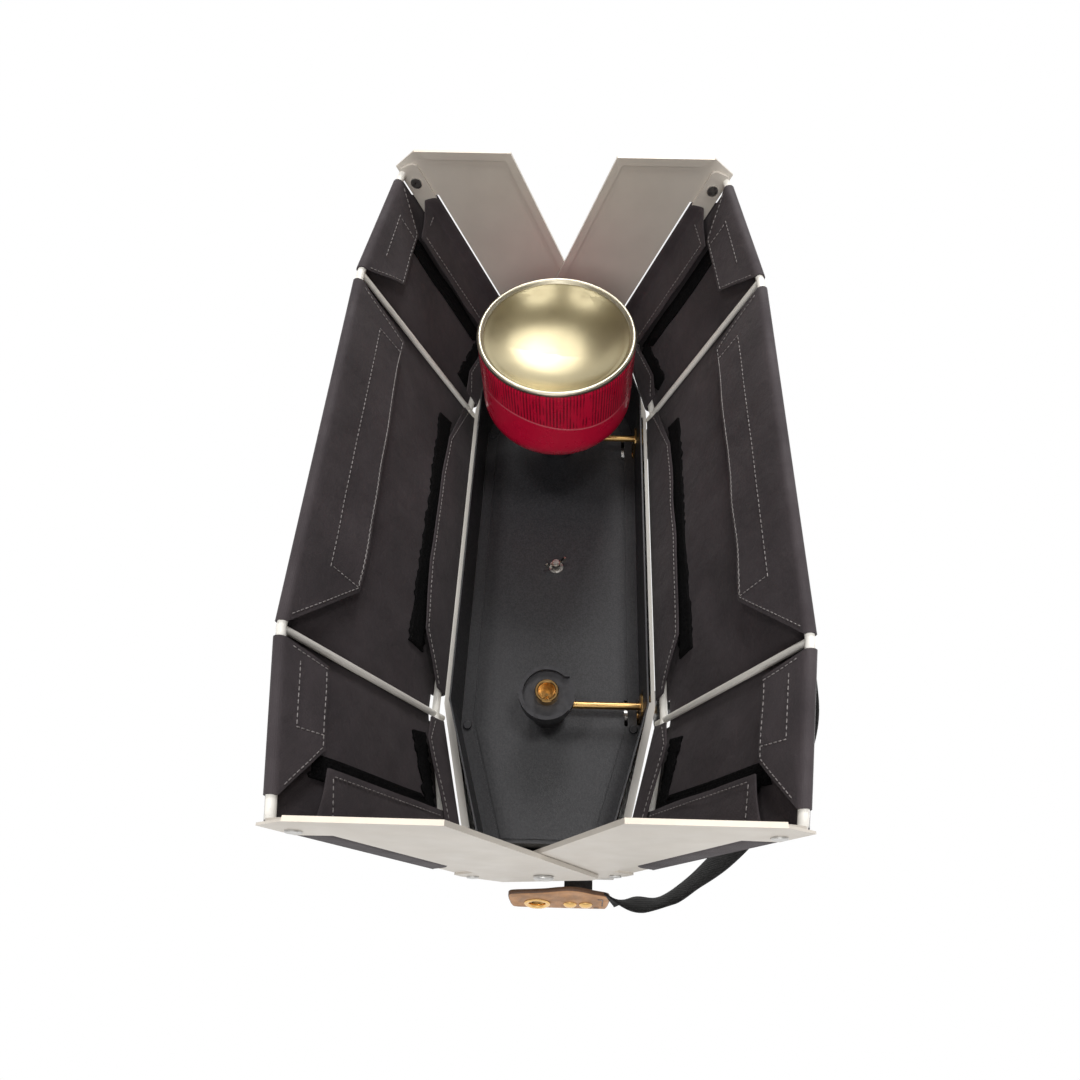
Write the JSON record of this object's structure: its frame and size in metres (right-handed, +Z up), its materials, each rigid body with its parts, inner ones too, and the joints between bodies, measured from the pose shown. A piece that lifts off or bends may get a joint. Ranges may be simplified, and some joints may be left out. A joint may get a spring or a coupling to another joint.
{
  "type": "folding two-burner gas stove",
  "caption": "Folding gas camping stove whose fabric-covered legs swing open under an octagonal hob, with a screw-on canister, knobs, wire pot stands, leather end tabs and a carrying strap.",
  "frame": {"origin": "centre of the footprint of the open stove, on the floor", "axes": "+X along the stove towards the burner with no canister, -Y towards the knobs, +Z up"},
  "size_m": [0.471, 0.2674, 0.246],
  "materials": {
    "frame_metal": "satin powder coat, warm light grey",
    "plate_metal": "satin powder coat, warm light grey",
    "stainless": "brushed",
    "tray_black": "fine-textured satin black",
    "rod_paint": "satin powder coat, warm light grey",
    "screw_steel": "bright zinc plate",
    "rivet_steel": "bright",
    "nut_nickel": "nickel plate",
    "brass": "bright machined",
    "seat_plastic": "moulded black",
    "burner_alloy": "matt cast",
    "burner_cap": "matt black enamel",
    "knob_plastic": "moulded black",
    "leather": "vegetable-tanned tan with dark edge",
    "webbing": "woven black webbing",
    "cover_fabric": "charcoal woven canvas with grey stitching",
    "canister_paint": "gloss red with pale gold rim"
  },
  "bodies": {
    "hob": {"hob_frame": "frame_metal", "control_panel": "stainless", "burner_skirt": "tray_black", "pan_plate": "tray_black", "skirt_screws": "tray_black", "drip_tray": "stainless", "centre_stud": "screw_steel", "canister_seat_left": "seat_plastic", "canister_seat_right": "seat_plastic", "connector_left": "brass", "connector_right": "brass", "gas_pipe_left": "brass", "gas_pipe_right": "brass", "valve_body_left": "brass", "valve_body_right": "brass", "mixer_left": "stainless", "mixer_right": "stainless", "burner_head_left": "burner_alloy", "burner_head_right": "burner_alloy", "burner_cap_left": "burner_cap", "burner_cap_right": "burner_cap", "pivot_bolts": "screw_steel", "pivot_nuts": "screw_steel", "pivot_spacers": "screw_steel", "leather_tab_right": "leather", "leather_tab_left": "leather", "tab_blocks": "frame_metal", "tab_fittings": "brass", "shoulder_strap": "webbing"},
    "front_leg": {"front_end_plate_left": "plate_metal", "front_end_plate_right": "plate_metal", "front_foot_rod": "rod_paint", "front_top_rod": "rod_paint", "front_ribs": "rod_paint", "front_posts": "plate_metal", "front_rivets": "rivet_steel", "front_cover_middle": "cover_fabric", "front_cover_left": "cover_fabric", "front_cover_right": "cover_fabric"},
    "rear_leg": {"rear_end_plate_left": "plate_metal", "rear_end_plate_right": "plate_metal", "rear_foot_rod": "rod_paint", "rear_top_rod": "rod_paint", "rear_ribs": "rod_paint", "rear_posts": "plate_metal", "rear_rivets": "rivet_steel", "rear_cover_middle": "cover_fabric", "rear_cover_left": "cover_fabric", "rear_cover_right": "cover_fabric"},
    "wing_nut": {"wing_nut": "nut_nickel"},
    "knob_left": {"knob_left": "knob_plastic", "spindle_left": "brass"},
    "knob_right": {"knob_right": "knob_plastic", "spindle_right": "brass"},
    "pot_support_left": {"pot_support_left": "stainless"},
    "pot_support_right": {"pot_support_right": "stainless"},
    "canister": {"canister_shell": "canister_paint", "canister_valve": "brass"}
  },
  "joints": [
    {"name": "front_leg_fold", "type": "hinge", "parent": "hob", "child": "front_leg", "pos_m": [0, 0, 0.158], "axis": [1, 0, 0], "range_deg": [0, 22.5]},
    {"name": "rear_leg_fold", "type": "hinge", "parent": "hob", "child": "rear_leg", "pos_m": [0, 0, 0.158], "axis": [1, 0, 0], "range_deg": [-22.5, 0]},
    {"name": "knob_left_turn", "type": "hinge", "parent": "hob", "child": "knob_left", "pos_m": [-0.1115, -0.07, 0.1775], "axis": [0, -1, 0], "range_deg": [0, 270]},
    {"name": "knob_right_turn", "type": "hinge", "parent": "hob", "child": "knob_right", "pos_m": [0.1115, -0.07, 0.1775], "axis": [0, -1, 0], "range_deg": [0, 270]},
    {"name": "wing_nut_turn", "type": "hinge", "parent": "hob", "child": "wing_nut", "pos_m": [0, 0, 0.18], "axis": [0, 0, 1], "continuous": true},
    {"name": "pot_support_left_lift", "type": "slide", "parent": "hob", "child": "pot_support_left", "axis": [0, 0, 1], "range_m": [0, 0.06]},
    {"name": "pot_support_right_lift", "type": "slide", "parent": "hob", "child": "pot_support_right", "axis": [0, 0, 1], "range_m": [0, 0.06]},
    {"name": "canister_unscrew", "type": "slide", "parent": "hob", "child": "canister", "axis": [0, 0, -1], "range_m": [0, 0.05]}
  ],
  "couplings": [
    {"joint": "rear_leg_fold", "follows": "front_leg_fold", "ratio": -1}
  ]
}
